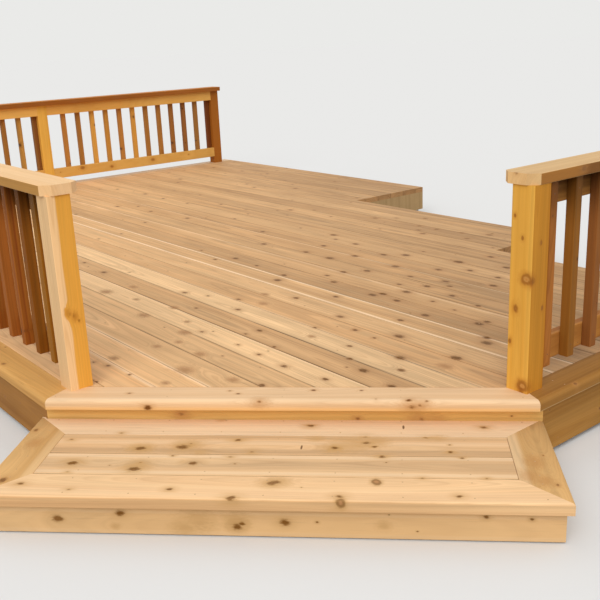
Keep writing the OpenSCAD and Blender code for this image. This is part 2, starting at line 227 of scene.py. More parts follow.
cedar = {
    "heart": (0.68, 0.42, 0.205),
    "heartRed": (0.62, 0.36, 0.165),
    "late": (0.42, 0.21, 0.085),  # the dark line of a growth ring
    "sap": (0.80, 0.54, 0.29),
    "sapShare": 0.0,  # share of the boards that have sapwood
    "paleStreak": (0.86, 0.66, 0.44),
    "endCut": (0.80, 0.68, 0.55),  # tint of a sawn end
    "endShow": 0.6,
    "boardSpread": 0.14,  # how much boards differ in tone
    "rowMix": 0.20,  # and in redness
    "ringGap": 0.0030,
    "ringShow": 0.22,
    "streakShow": 0.16,
    "broadShow": 0.0,
    "dashShow": 0.10,
    "mottle": 0.10,
    "seamShow": 0.0,  # darker rims of the boards
    "knot": (0.19, 0.078, 0.022),
    "knotMiddle": (0.34, 0.16, 0.06),
    "halo": (0.47, 0.22, 0.070),
    "knotGap": 0.34,
    "knotShare": 0.75,
    "knotSmall": 0.006,
    "knotBig": 0.016,
    "knotSize": 0.80,
    "knotShow": 0.90,
    "knotEdge": 1.45,
    "haloShow": 0.55,
    "softShow": 0.5,
    "eyeShow": 0.15,
    "bulge": 0.009,  # how far the grain bends round a knot
    "pinGap": 0.17,
    "pinSmall": 0.002,
    "pinBig": 0.0045,
    "pinShare": 0.35,
    "rough": 0.62,
    "gloss": 0.12,
    "bump": 0.35,
}

# Ways that boards lie: along, across and through the board.
alongX = ((1, 0, 0), (0, 1, 0), (0, 0, 1))
alongY = ((0, 1, 0), (1, 0, 0), (0, 0, 1))
alongStep = ((slant, slant, 0), (-slant, slant, 0), (0, 0, 1))
outOfStep = ((-slant, slant, 0), (slant, slant, 0), (0, 0, 1))
upright = ((0, 0, 1), (1, 0, 0), (0, 1, 0))
onEdgeX = ((1, 0, 0), (0, 0, 1), (0, 1, 0))
onEdgeY = ((0, 1, 0), (0, 0, 1), (1, 0, 0))
onEdgeStep = ((slant, slant, 0), (0, 0, 1), (-slant, slant, 0))
onEdgeOut = ((-slant, slant, 0), (0, 0, 1), (slant, slant, 0))


# Wood whose grain runs along the board. A knot is its place along, its place across and its reach.
# Rows are counted across the boards, and lines, fades and tilt change the tone at a place; the deck's tilt
# and several fades are painted shade, and one fade is a painted highlight.
def woodLook(name, way, boards, changes=None, knots=(), softKnots=(), marks=(), lines=(), rowTones=(),
             rowLooks=(), ringKnots=(), wildPast=None, sapFace=None, sideTint=None, tilt=None, fades=(),
             seed=0.0, origin=None):
    tone = dict(cedar, **(changes or {}))
    bench = Bench(name)
    origin = deckCorner if origin is None else origin
    place = bench.wire("TexCoord", None, None, "Object")
    place = bench.vectors("SUBTRACT", place, tuple(origin))
    along, across, through = [bench.towards(place, axis) for axis in way]
    board = bench.joined(along, across, through)

    # which board this is, and its own random numbers
    row = ((across - boards["start"]) / boards["pitch"]).whole()
    length = ((along - boards.get("alongStart", -50.0)) / boards.get("alongPitch", 100.0)).whole()
    offset = across - row * boards["pitch"] - (boards["start"] + boards["width"] / 2)
    dice = bench.joined(row + 0.5, length + 0.5, seed + 0.5)
    chance = []
    for throw in (dice, bench.vectors("ADD", dice, (19.0, 7.0, 3.0))):
        chance += bench.split(bench.wire("TexWhiteNoise", None, {0: throw}, "Color"))

    # distance to the nearest knot, 1 at its rim; a fourth value makes a knot fainter
    def nearest(places, lengthways=0.7):
        found = None
        for at, side, reach, *faint in places:
            deep = isinstance(side, tuple)
            spot = (at, side[0], side[1]) if deep else (at, side, 0.0)
            far = bench.gap(board, spot, (lengthways / reach, 1 / reach, 1 / reach if deep else 0.0))
            far = far + faint[0] if faint else far
            found = far if found is None else found.lowest(far)
        return found

    shift = row * 17.31 + length * 5.73 + (seed * 3.3 + 11.0)
    placed = None if wildPast is None else bench.maths("GREATER_THAN", along, wildPast)

    # distance to scattered knots, one in each gap of a board at most
    def scattered(gap, small, big, share, hidden):
        run = along / gap + shift * (1.0 + small * 10)
        inputs = {"W": run, "Scale": 1.0, "Randomness": 0.8}
        cell = bench.node("TexVoronoi", {"voronoi_dimensions": "1D"}, inputs)
        draw = bench.split(Wire(bench, cell.outputs["Color"]))
        reach = draw[1] * draw[1] * (big - small) + small
        longways = (run - Wire(bench, cell.outputs["W"])) * (gap * 0.7) / reach
        sideways = (offset - (draw[0] - 0.5) * (boards["width"] * 0.8)) / reach
        away = (longways * longways + sideways * sideways).root()
        away = away + bench.maths("GREATER_THAN", draw[2], share) * 40.0
        return away if hidden is None else away + hidden * 40.0

    away = scattered(tone["knotGap"], tone["knotSmall"], tone["knotBig"], tone["knotShare"], placed)
    away = away.lowest(scattered(tone["pinGap"], tone["pinSmall"], tone["pinBig"], tone["pinShare"], None))
    if knots:
        away = away.lowest(nearest(knots))
    ragged = bench.noise(bench.vectors("MULTIPLY", board, (60.0, 150.0, 150.0)), 3.0, 0.6) - 0.5
    rim = away * (1 / tone["knotSize"]) + ragged * 1.3
    bulge = bench.maths("EXPONENT", away * away * -0.35) * tone["bulge"]
    if softKnots:
        soft = nearest(softKnots) + ragged * 1.4
        bulge = bulge + bench.maths("EXPONENT", soft * soft * -0.45) * (1.4 * tone["bulge"])

    # growth rings round a pith that wanders along the board
    wander = bench.joined(along * 0.7 + chance[0] * 37.0, row * 3.1, seed)
    drift = bench.wire("TexNoise", None, {"Vector": wander, "Scale": 1.0, "Detail": 1.0}, "Color")
    drift = bench.split(drift)
    pithSide = (chance[1] - 0.5) * 0.11 + (drift[0] - 0.5) * 0.05
    pithDeep = chance[2] * 0.07 + 0.03 + (drift[1] - 0.5) * 0.06
    sideways = offset - pithSide
    below = through - boards.get("top", 0.0) + pithDeep + bulge
    radius = (sideways * sideways + below * below).root()
    waver = bench.noise(bench.joined(along * 2.2 + shift, across * 22.0, through * 22.0))
    radius = radius + (waver - 0.5) * 0.004
    ring = bench.wire("ValToRGB", {"stops": [(0.0, 0.0), (0.45, 0.12), (0.85, 1.0), (1.0, 0.0)]},
                      {0: (radius / tone["ringGap"]).part()})
    streak = bench.noise(bench.joined(along * 0.55 + shift, radius * 150.0, row * 3.7), 3.0, 0.62)
    broad = bench.noise(bench.joined(along * 0.35 + shift, radius * 34.0, row * 7.1 + 40.0))
    fibre = bench.noise(bench.joined(along * 14.0, across * 520.0, through * 520.0), 2.0, 0.6)

    # heartwood and sapwood
    redder = (broad + (chance[3] - 0.5) * tone["rowMix"]).band(0.35, 0.65)
    colour = bench.mixed(redder, tone["heart"], tone["heartRed"])
    sapLimit = chance[3] * 0.05 + 0.055
    sapPart = (radius - sapLimit).band(0.0, 0.006) * bench.maths("LESS_THAN", chance[4], tone["sapShare"])
    if sapFace:
        direction, start, width = sapFace
        depth = bench.towards(board, direction) - start
        lean = (bench.noise(bench.joined(along * 3.1 + 5.0, 0.0, 0.0)) - 0.5) * 0.018
        sapPart = (depth - lean + bulge * 2.0).band(width + 0.0035, width - 0.0035)
    colour = bench.mixed(sapPart, colour, tone["sap"])
    for number, share, tint in rowLooks:
        colour = bench.mixed(bench.maths("COMPARE", row, float(number), 0.5) * share, colour, tint)
    colour = bench.mixed(ring * tone["ringShow"], colour, tone["late"])

    # streaks, rims of boards and blotches, as one factor of light and dark
    light = (streak - 0.5) * (2 * tone["streakShow"]) + (chance[5] - 0.5) * (2 * tone["boardSpread"]) + 1.0
    light = light + (fibre - 0.5) * 0.08 + (broad - 0.5) * tone["broadShow"]
    dash = bench.noise(bench.joined(along * 5.0 + shift, across * 190.0, through * 190.0), 2.0, 0.6)
    light = light - dash.band(0.60, 0.74) * tone["dashShow"]
    boardRim = (offset.size() - (boards["width"] / 2)).band(-0.0035, -0.0008)
    light = light - boardRim * tone["seamShow"]
    blotch = bench.noise(bench.joined(along * 2.4 + shift, across * 13.0, through * 13.0))
    light = light + (blotch - 0.5) * (2 * tone["mottle"])
    if tilt:
        light = light + (along * tilt[0] + across * tilt[1] + tilt[2]).lowest(0.25).highest(-0.20)
    for number, change in rowTones:
        light = light + bench.maths("COMPARE", row, float(number), 0.5) * change
    wobble = (bench.noise(bench.joined(along * 1.6, 3.0, seed)) - 0.5) * 0.006
    for where, width, change in lines:
        strip = (across + wobble - where).size().band(width, width * 0.3)
        if change < 0:
            light = light + strip * change
        else:
            colour = bench.mixed(strip * (2.2 * change), colour, tone["paleStreak"])
    for axis, level, width, change in fades:
        strip = (bench.towards(board, axis) - level).size().band(width, width * 0.1)
        if isinstance(change, tuple):
            colour = bench.mixed(strip * change[3], colour, change[:3])
        else:
            light = light + strip * change
    colour = bench.mixed(1.0, colour, bench.joined(light, light, light), "MULTIPLY")

    # sawn ends, and one side that has another tint
    normal = bench.wire("NewGeometry", None, None, "Normal")
    endways = bench.towards(normal, way[0]).size().band(0.60, 0.85)
    colour = bench.mixed(endways * tone["endShow"], colour, tone["endCut"], "MULTIPLY")
    colour = bench.mixed(endways * ring * 0.22, colour, tone["late"])
    if sideTint:
        side, tint, *change = sideTint
        if change:
            tint = bench.mixed(along.band(*change[0]), tint, change[1])
        colour = bench.mixed(bench.towards(normal, side).band(0.75, 0.9), colour, tint, "MULTIPLY")

    # knots
    if softKnots:
        colour = bench.mixed(soft.band(1.8, 0.1) * tone["softShow"], colour, tone["halo"])
    tail = (away * (1 / tone["knotSize"])).band(3.6, 0.8) * streak.band(0.30, 0.75)
    colour = bench.mixed(tail * tone["haloShow"], colour, tone["halo"])
    depth = broad.band(0.30, 0.70) * 0.35 + (tone["knotShow"] - 0.25)
    colour = bench.mixed(rim.band(1.8, 0.6) * 0.40, colour, tone["halo"])
    colour = bench.mixed(rim.band(tone["knotEdge"], 0.35) * depth, colour, tone["knot"])
    colour = bench.mixed(rim.band(0.5, 0.1) * tone["eyeShow"], colour, tone["knotMiddle"])
    # large knots: halo, dark ring, pale middle, heart
    if ringKnots:
        lumps = bench.noise(bench.vectors("MULTIPLY", board, (38.0, 55.0, 55.0)), 2.0, 0.5) - 0.5
        hoop = nearest(ringKnots, 1.15) + lumps * 1.1
        colour = bench.mixed(hoop.band(2.6, 1.1) * 0.50, colour, tone["halo"])
        colour = bench.mixed(hoop.band(1.6, 0.95) * 0.70, colour, tone["knot"])
        colour = bench.mixed(hoop.band(0.85, 0.35) * 0.75, colour, tone["knotMiddle"])
        colour = bench.mixed(hoop.band(0.40, 0.10) * 0.45, colour, tone["halo"])
    for at, side, reach in marks:
        far = bench.gap(board, (at, side, 0.0), (1 / reach[0], 1 / reach[1], 0.0)) + ragged * 0.5
        colour = bench.mixed(far.band(1.2, 0.7) * 0.9, colour, (0.15, 0.070, 0.028))

    height = ring * 0.25 + fibre * 0.5 - rim.band(1.2, 0.7) * 0.4
    normal = bench.wire("Bump", None, {"Strength": tone["bump"], "Distance": 0.0006, "Height": height})
    rough = (fibre - 0.5) * 0.12 + tone["rough"] - rim.band(1.1, 0.7) * 0.12
    return bench.finish({"Base Color": colour, "Roughness": rough, "Normal": normal,
                         "Specular IOR Level": tone["gloss"]})


# Deck boards

# Knots from the front right corner: along, across, reach, and how faint.
deckKnots = [
    (-1.234, 0.343, 0.006), (-1.460, 0.303, 0.009, 0.4), (-0.788, 0.646, 0.011),
    (-1.050, 0.827, 0.010, 0.3), (-0.878, 0.819, 0.014, 0.3), (-0.666, 0.848, 0.010),
    (-1.205, 0.833, 0.008, 0.4), (-1.455, 0.815, 0.014, 0.5), (-1.076, 0.925, 0.011, 0.3),
    (-1.293, 0.935, 0.008, 0.2), (-1.285, 1.004, 0.014, 0.2), (-0.628, 1.005, 0.016),
    (-0.446, 0.974, 0.014), (-1.766, 0.985, 0.010, 0.2), (-2.033, 1.086, 0.014, 0.2),
    (-1.601, 1.111, 0.014, 0.2), (-1.895, 1.137, 0.009, 0.2), (-0.531, 1.109, 0.013),
    (-0.756, 1.051, 0.011), (-0.861, 1.147, 0.011, 0.1), (-0.622, 1.196, 0.018),
    (-1.139, 1.197, 0.010, 0.3), (-1.733, 1.208, 0.011, 0.2), (-0.799, 1.371, 0.018),
    (-0.467, 1.348, 0.018), (-1.172, 1.374, 0.014), (-1.543, 1.417, 0.012), (-1.261, 0.218, 0.009, 0.4),
    (-1.382, 0.327, 0.011, 0.3), (-0.990, 1.297, 0.011, 0.1), (-0.859, 1.285, 0.009, 0.3),
]
deckSoftKnots = [
    (-1.122, 0.524, 0.030), (-0.906, 0.599, 0.020), (-1.226, 0.660, 0.022), (-1.503, 0.758, 0.024),
    (-1.854, 0.752, 0.024), (-2.351, 0.809, 0.026), (-1.623, 0.843, 0.014), (-2.112, 0.853, 0.014),
    (-2.326, 0.954, 0.020), (-1.853, 0.914, 0.018), (-1.063, 1.114, 0.014), (-1.588, 1.249, 0.020),
    (-0.441, 1.252, 0.022), (-1.706, 1.350, 0.018), (-1.436, 0.580, 0.015), (-1.416, 0.674, 0.015),
    (-1.443, 0.385, 0.018), (-1.061, 0.401, 0.014),
]
middleKnots = [
    (-1.862, 1.551, 0.016), (-1.416, 1.563, 0.011), (-0.490, 1.559, 0.017), (-0.531, 1.608, 0.012),
    (-0.942, 1.525, 0.010), (-2.484, 1.574, 0.009), (-0.909, 1.651, 0.015), (-1.156, 1.720, 0.013),
    (-1.307, 1.705, 0.016), (-1.283, 1.752, 0.015), (-1.617, 1.728, 0.013), (-1.915, 1.635, 0.012),
    (-1.737, 1.786, 0.010), (-0.664, 1.722, 0.014), (-0.657, 1.768, 0.012), (-2.414, 1.669, 0.014),
    (-2.186, 1.654, 0.009), (-1.222, 1.854, 0.017), (-1.724, 1.891, 0.013), (-1.340, 1.924, 0.010),
    (-1.018, 1.956, 0.012), (-0.829, 1.917, 0.010), (-1.215, 1.993, 0.013), (-1.646, 1.992, 0.014),
    (-1.134, 2.069, 0.011), (-1.399, 2.067, 0.012), (-2.004, 2.038, 0.019), (-2.218, 2.038, 0.014),
    (-2.575, 1.995, 0.015), (-1.599, 2.158, 0.016), (-1.932, 2.165, 0.015), (-1.204, 2.121, 0.014),
    (-0.983, 2.220, 0.015), (-2.255, 2.208, 0.013), (-2.429, 2.441, 0.016), (-2.329, 2.371, 0.010),
    (-2.143, 2.368, 0.014), (-1.829, 2.296, 0.014), (-1.728, 2.372, 0.018), (-1.408, 2.455, 0.021),
    (-1.382, 2.264, 0.014), (-1.250, 2.361, 0.013), (-1.347, 2.654, 0.014), (-1.057, 2.349, 0.012),
    (-1.145, 2.531, 0.016), (-1.024, 1.826, 0.010, 0.2), (-0.867, 1.796, 0.009, 0.3),
    (-1.706, 2.497, 0.009, 0.2),
]
houseKnots = [
    (-2.026, 2.835, 0.014), (-2.044, 2.980, 0.014), (-2.194, 2.982, 0.012), (-1.854, 3.006, 0.012),
    (-1.690, 3.068, 0.015),
]
# Sapwood edges and dark seams: across, half width, change of tone.
deckLines = [
    (0.351, 0.015, 0.22), (0.495, 0.015, 0.22), (0.906, 0.009, 0.10), (1.194, 0.010, 0.13),
    (1.482, 0.012, 0.30), (1.606, 0.012, 0.32), (1.873, 0.010, 0.14), (2.161, 0.010, 0.12),
    (0.637, 0.006, -0.20), (0.772, 0.006, -0.22), (0.916, 0.005, -0.20), (1.056, 0.006, -0.22),
    (1.190, 0.005, -0.10), (1.330, 0.005, -0.10),
]
# Rows that are lighter or darker, rows 10 and 12 darker as painted shade of the house, and two rows of
# sapwood boards.
deckRowTones = [(0, 0.10), (1, 0.08), (2, 0.04), (3, -0.02), (4, 0.06), (5, -0.06), (6, 0.06), (10, -0.04),
                (12, -0.05)]
deckRowLooks = [(4, 0.70, (0.80, 0.54, 0.29)), (6, 0.65, (0.80, 0.54, 0.29))]
# Painted shade of the house: the boards are darker towards it and paler away from it; change with each
# metre along and across, and at the corner.
deckHouseShade = (-0.075, -0.107, 0.023)
deckPlaced = -2.6  # knots are placed on this side of it and scattered past it


def paintDeck():
    boards = {"start": deckPlan["fieldStart"], "pitch": deckPlan["rowPitch"],
              "width": deckPlan["boardWidth"], "top": deckPlan["deckTop"]}
    field = {"boardSpread": 0.03, "streakShow": 0.42, "ringShow": 0.30, "dashShow": 0.20,
             "seamShow": 0.30, "mottle": 0.20, "broadShow": 0.26, "paleStreak": (0.86, 0.63, 0.40),
             "knot": (0.155, 0.062, 0.008), "knotSize": 1.0, "knotShow": 1.05, "knotEdge": 1.3,
             "halo": (0.385, 0.195, 0.080), "softShow": 0.85, "knotShare": 0.30, "pinShare": 0.12}
    dusky = dict(field, heart=(0.60, 0.36, 0.17), heartRed=(0.54, 0.31, 0.14), boardSpread=0.08,
                 streakShow=0.50, knotSize=1.1)
    far = dict(dusky, boardSpread=0.07, sapShare=0.10, knot=(0.23, 0.105, 0.025), knotShare=0.34)
    front = woodLook("deckBoardsFront", alongX, boards, field, deckKnots, deckSoftKnots, lines=deckLines,
                     rowTones=deckRowTones, rowLooks=deckRowLooks, wildPast=deckPlaced, tilt=deckHouseShade)
    middle = woodLook("deckBoardsMiddle", alongX, boards, dusky, middleKnots, lines=deckLines,
                      rowTones=deckRowTones, wildPast=deckPlaced, tilt=deckHouseShade)
    house = woodLook("deckBoardsHouse", alongX, boards, far, houseKnots, lines=deckLines, tilt=deckHouseShade)
    paint("deck_filler", "deck_boards_front", front)
    paint("deck_boards_middle", middle)
    paint("deck_boards_house", house)


# Boards round the deck

# Knots on the rounded edge have a height too.
noseKnots = [
    (-0.482, (0.000, 0.212), 0.012), (0.331, 0.018, 0.009, 0.6), (-0.078, (0.004, 0.237), 0.010, 0.5),
    (0.107, 0.094, 0.009, 0.1), (0.279, 0.092, 0.008, 0.3), (0.456, (0.000, 0.219), 0.018, 0.55),
    (0.482, (0.002, 0.225), 0.009, 0.5), (0.505, (0.006, 0.239), 0.008, 0.3),
    (0.444, (0.012, 0.241), 0.012, 0.3), (-0.162, 0.060, 0.006), (-0.197, 0.087, 0.006, 0.3),
    (-0.565, 0.063, 0.008, 0.4),
]
noseSoftKnots = [
    (0.460, (0.001, 0.222), 0.030), (0.486, (0.002, 0.227), 0.022), (-0.078, (0.004, 0.237), 0.024),
]
deckRiserKnots = [
    (-0.374, 0.168, 0.012, 0.4), (0.266, 0.152, 0.008, 0.2), (0.490, 0.150, 0.015, 0.5),
    (0.307, 0.195, 0.006, 0.2), (0.800, 0.165, 0.005, 0.2), (-0.150, 0.190, 0.005, 0.3),
]
deckRiserSoftKnots = [
    (-0.374, 0.168, 0.024), (0.472, 0.152, 0.024), (0.540, 0.150, 0.024), (0.262, 0.150, 0.016),
]
edgeKnots = [
    (-1.713, (0.030, 0.238), 0.010), (-1.616, 0.134, 0.009), (-2.110, 0.060, 0.013),
    (-2.540, 0.095, 0.010), (-2.870, 0.045, 0.015), (-3.300, 0.110, 0.012), (-3.790, 0.070, 0.014),
    (-4.260, 0.040, 0.010), (-4.720, 0.100, 0.015), (-5.190, 0.060, 0.012), (-1.905, 0.110, 0.005),
    (-2.330, 0.030, 0.005),
]


def paintBorder():
    whole = {"start": -0.5, "pitch": 50.0, "width": 1.12, "top": deckPlan["deckTop"]}
    pale = {"heart": (0.74, 0.505, 0.295), "heartRed": (0.70, 0.455, 0.25),
            "knotGap": 0.30, "knot": (0.15, 0.050, 0.006), "knotShow": 1.1}
    dull = {"heart": (0.68, 0.375, 0.115), "heartRed": (0.54, 0.265, 0.07),
            "knotGap": 0.28, "streakShow": 0.26, "dashShow": 0.16}
    # The right edge board is dark brown, partly the wood and partly painted shade of the rail above it.
    shade = {"heart": (0.37, 0.173, 0.036), "heartRed": (0.305, 0.132, 0.024),
             "knotGap": 0.28, "streakShow": 0.25}
    edge = dict(dull, heart=(0.84, 0.62, 0.40), heartRed=(0.78, 0.55, 0.33))
    bare = dict(dull, knotShare=0.0)
    # A pale band along the nose board's rounded arris: painted highlight.
    arrisHighlight = [(0.012, 0.014, 0.14)]
    up = (0, 0, 1)
    # The nose board turns orange towards its foot, and a narrow darker band along its lower edge is painted
    # shade.
    noseFades = [(up, frameFoot, 0.020, (0.80, 0.44, 0.15, 0.75)), (up, frameFoot, 0.005, -0.10)]
    # A pale line along the lower edge of the right edge board: painted highlight.
    footHighlight = [(up, frameFoot, 0.0045, (0.66, 0.43, 0.21, 0.7))]
    nose = woodLook("noseBoard", alongStep, whole, pale, noseKnots, noseSoftKnots, lines=arrisHighlight, seed=2.0,
                    origin=stepMiddle, wildPast=-5.0, fades=noseFades)
    paint("border_step", nose)
    paint("border_front", woodLook("frontEdgeBoard", alongX, whole, bare, edgeKnots, seed=3.0))
    paint("border_left", woodLook("leftEdgeBoard", alongY, whole, edge, seed=4.0))
    paint("border_right", woodLook("rightEdgeBoard", alongY, whole, shade, fades=footHighlight, seed=5.0))


# Step

# Places from the middle of the step: along the clipped edge, and towards the deck.
treadKnots = [
    (-0.804, 0.063, 0.010, 0.5), (-0.395, 0.079, 0.010, 0.2), (-0.563, -0.068, 0.010, 0.4),
    (-0.727, -0.121, 0.012, 0.5), (-0.319, -0.170, 0.018), (-0.296, -0.145, 0.011, 0.6),
    (-0.462, -0.182, 0.015), (-0.137, -0.116, 0.014, 0.3), (0.100, 0.000, 0.011),
    (0.295, -0.085, 0.015, 0.5), (0.196, -0.168, 0.018, 0.35), (0.300, -0.129, 0.022, 0.45),
    (0.327, -0.156, 0.008), (0.499, -0.087, 0.012, 0.5), (0.700, -0.006, 0.013, 0.2),
    (0.574, -0.189, 0.011, 0.3), (0.608, -0.230, 0.010, 0.4), (0.353, -0.225, 0.014, 0.3),
    (-0.078, -0.202, 0.014, 0.6), (-0.142, -0.236, 0.011, 0.5), (-0.661, -0.290, 0.015),
    (-0.657, -0.349, 0.008, 0.5), (-0.443, -0.326, 0.016), (-0.435, -0.281, 0.012, 0.6),
    (-0.259, -0.282, 0.013), (-0.120, -0.284, 0.006, 0.4), (-0.337, -0.233, 0.007, 0.4),
    (-0.782, -0.427, 0.013, 0.3), (-0.611, -0.460, 0.009, 0.4), (-0.295, -0.449, 0.010, 0.1),
    (0.016, -0.406, 0.014, 0.1), (0.028, -0.397, 0.014, 0.1), (0.581, -0.467, 0.010, 0.2),
    (-0.094, (-0.494, 0.146), 0.014, 0.1), (0.228, -0.478, 0.013, 0.3), (0.478, -0.362, 0.009, 0.5),
    (0.672, -0.358, 0.008, 0.5),
]
treadRings = [(0.234, (-0.503, 0.138), 0.012), (0.337, -0.389, 0.014)]
treadSoftKnots = [
    (-0.227, 0.040, 0.012), (0.250, -0.140, 0.050), (0.130, -0.100, 0.020), (-0.250, -0.205, 0.020),
    (0.196, -0.165, 0.034), (-0.461, -0.180, 0.030), (0.335, -0.120, 0.030), (-0.300, -0.150, 0.034),
    (0.540, -0.088, 0.020), (-0.435, -0.300, 0.030), (0.028, -0.400, 0.030),
]
# Two dark slivers in the wood: along, across, half their length and width.
treadMarks = [(0.085, -0.165, (0.0035, 0.016)), (0.425, -0.008, (0.0040, 0.015))]
# Streaks and seams: across, half width, change of tone.
treadLines = [
    (-0.197, 0.026, -0.20), (-0.134, 0.022, 0.12), (-0.096, 0.018, -0.11), (-0.236, 0.016, 0.18),
    (-0.290, 0.044, -0.11), (-0.343, 0.014, 0.14), (-0.060, 0.020, -0.06), (-0.470, 0.040, 0.06),
    (-0.385, 0.014, -0.04), (-0.3613, 0.003, -0.34), (-0.2198, 0.004, -0.36), (-0.0783, 0.003, -0.26),
]
riserKnots = [
    (-0.652, 0.053, 0.015), (-0.449, 0.077, 0.013), (-0.086, 0.036, 0.012), (-0.070, 0.047, 0.008),
    (0.061, 0.055, 0.013), (0.659, 0.085, 0.007), (0.791, 0.080, 0.005),
]
riserSoftKnots = [
    (-0.205, 0.055, 0.040), (-0.250, 0.030, 0.030), (-0.090, 0.060, 0.030), (0.360, 0.050, 0.014),
    (-0.470, 0.030, 0.010),
]
sideKnots = [
    (-0.407, -0.848, 0.014), (-0.424, -0.784, 0.011), (-0.049, -0.886, 0.009), (-0.392, 0.877, 0.006),
]
sideSoftKnots = [
    (-0.150, -0.850, 0.024), (-0.340, 0.800, 0.030), (-0.369, 0.843, 0.024), (-0.250, 0.830, 0.030),
]


def paintStep():
    pale = {"heart": (0.82, 0.545, 0.295), "heartRed": (0.76, 0.475, 0.245), "sap": (0.86, 0.60, 0.34),
            "boardSpread": 0.02, "streakShow": 0.24, "ringShow": 0.16,
            "paleStreak": (0.92, 0.69, 0.45), "knotShare": 0.0, "pinShare": 0.08, "knotSize": 1.0,
            "knot": (0.185, 0.076, 0.012), "knotMiddle": (0.50, 0.24, 0.10), "halo": (0.52, 0.29, 0.10),
            "haloShow": 0.7, "knotShow": 0.95, "knotEdge": 1.1, "bulge": 0.005}
    boards = {"start": deckPlan["treadStart"], "pitch": deckPlan["treadPitch"],
              "width": deckPlan["treadWidth"], "top": deckPlan["stepTop"]}
    frontSide = ((slant, -slant, 0), (0.88, 0.82, 0.74), (0.2, 0.8), (1.0, 0.97, 0.92))
    treads = woodLook("treadBoards", alongStep, boards, pale, treadKnots, treadSoftKnots, treadMarks,
                      treadLines, rowTones=[(0, 0.04), (1, -0.04), (2, -0.02), (3, 0.06)],
                      rowLooks=[(3, 0.6, (0.80, 0.61, 0.41))], ringKnots=treadRings, sideTint=frontSide,
                      seed=7.0, origin=stepMiddle)
    paint("tread_front", "tread_inner", "tread_back", treads)
    sides = {"start": -0.9077, "pitch": 1.6754, "width": deckPlan["treadWidth"], "top": deckPlan["stepTop"]}
    tan = {"heart": (0.60, 0.36, 0.145), "heartRed": (0.50, 0.28, 0.10), "knotShare": 0.0, "pinShare": 0.1,
           "streakShow": 0.24, "paleStreak": (0.84, 0.62, 0.38), "mottle": 0.14}
    sideLines = [(0.778, 0.034, 0.24), (-0.778, 0.030, 0.10), (0.860, 0.012, -0.10)]
    paint("tread_sides", woodLook("sideTreads", outOfStep, sides, tan, sideKnots, sideSoftKnots,
                                  lines=sideLines, tilt=(-0.45, 0.0, -0.10), seed=8.0, origin=stepMiddle))
    face = {"start": -0.002, "pitch": 5.0, "width": 0.108}
    warm = {"heart": (0.75, 0.485, 0.240), "heartRed": (0.71, 0.440, 0.205),
            "ringShow": 0.08, "mottle": 0.13, "knotShare": 0.0, "pinShare": 0.15, "knotSize": 0.90,
            "knot": (0.19, 0.074, 0.010), "halo": (0.47, 0.26, 0.09), "knotShow": 1.0, "knotEdge": 1.2,
            "bulge": 0.003}
    gold = {"heart": (0.78, 0.50, 0.175), "heartRed": (0.70, 0.42, 0.13),
            "knotShare": 0.0, "streakShow": 0.25}
    riserLines = [(0.012, 0.010, 0.05), (0.083, 0.008, 0.06)]
    paint("step_riser", woodLook("stepRiser", onEdgeStep, face, warm, riserKnots, riserSoftKnots,
                                 lines=riserLines, seed=9.0, origin=stepMiddle))
    shadows = [((0, 1, 0), frameFoot, 0.012, -0.40), ((0, 1, 0), deckPlan["stepTop"], 0.022, -0.22)]
    paint("riser_deck", woodLook("deckRiser", onEdgeStep, face, gold, deckRiserKnots, deckRiserSoftKnots,
                                 fades=shadows, seed=10.0, origin=stepMiddle))
    paint("step_sides", woodLook("stepSides", onEdgeOut, face, warm, seed=11.0, origin=stepMiddle))


# Fascia boards

def paintFascia():
    boards = {"start": 0.019, "pitch": 5.0, "width": 0.184}
    # The fascia boards' dark brown is partly the wood and partly painted shade under the deck's overhang.
    brown = {"heart": (0.42, 0.205, 0.055), "heartRed": (0.35, 0.155, 0.035), "sap": (0.56, 0.32, 0.10),
             "late": (0.22, 0.09, 0.03), "knotGap": 0.4, "streakShow": 0.25, "sapShare": 0.25}
    # A darker band at the top of the fascia, under the edge boards: painted shade.
    shadeUnder = [((0, 1, 0), frameFoot, 0.012, -0.42)]
    front = dict(brown, heart=(0.325, 0.148, 0.034), heartRed=(0.26, 0.108, 0.021), mottle=0.30)
    brown = dict(brown, heart=(0.395, 0.195, 0.046), heartRed=(0.33, 0.148, 0.029), mottle=0.24)
    paint("fascia_front", woodLook("frontFascia", onEdgeX, boards, front, fades=shadeUnder, seed=12.0))
    paint("fascia_left", "fascia_right",
          woodLook("sideFascia", onEdgeY, boards, brown, tilt=(-0.45, 0.0, 0.78), fades=shadeUnder, seed=13.0))


# Posts

golden = {"heart": (0.77, 0.42, 0.075), "heartRed": (0.70, 0.345, 0.05), "late": (0.52, 0.20, 0.02),
          "sap": (0.90, 0.60, 0.28), "halo": (0.46, 0.17, 0.02), "knot": (0.27, 0.095, 0.015),
          "knotMiddle": (0.60, 0.30, 0.08), "boardSpread": 0.05, "streakShow": 0.20,
          "knotGap": 0.28, "knotSmall": 0.006, "knotBig": 0.018, "knotShare": 0.7, "ringShow": 0.16}
halfPost = 0.0445


def postCentre(name):
    low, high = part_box(name)
    return Vector(((low.x + high.x) / 2, (low.y + high.y) / 2, deckPlan["deckTop"]))


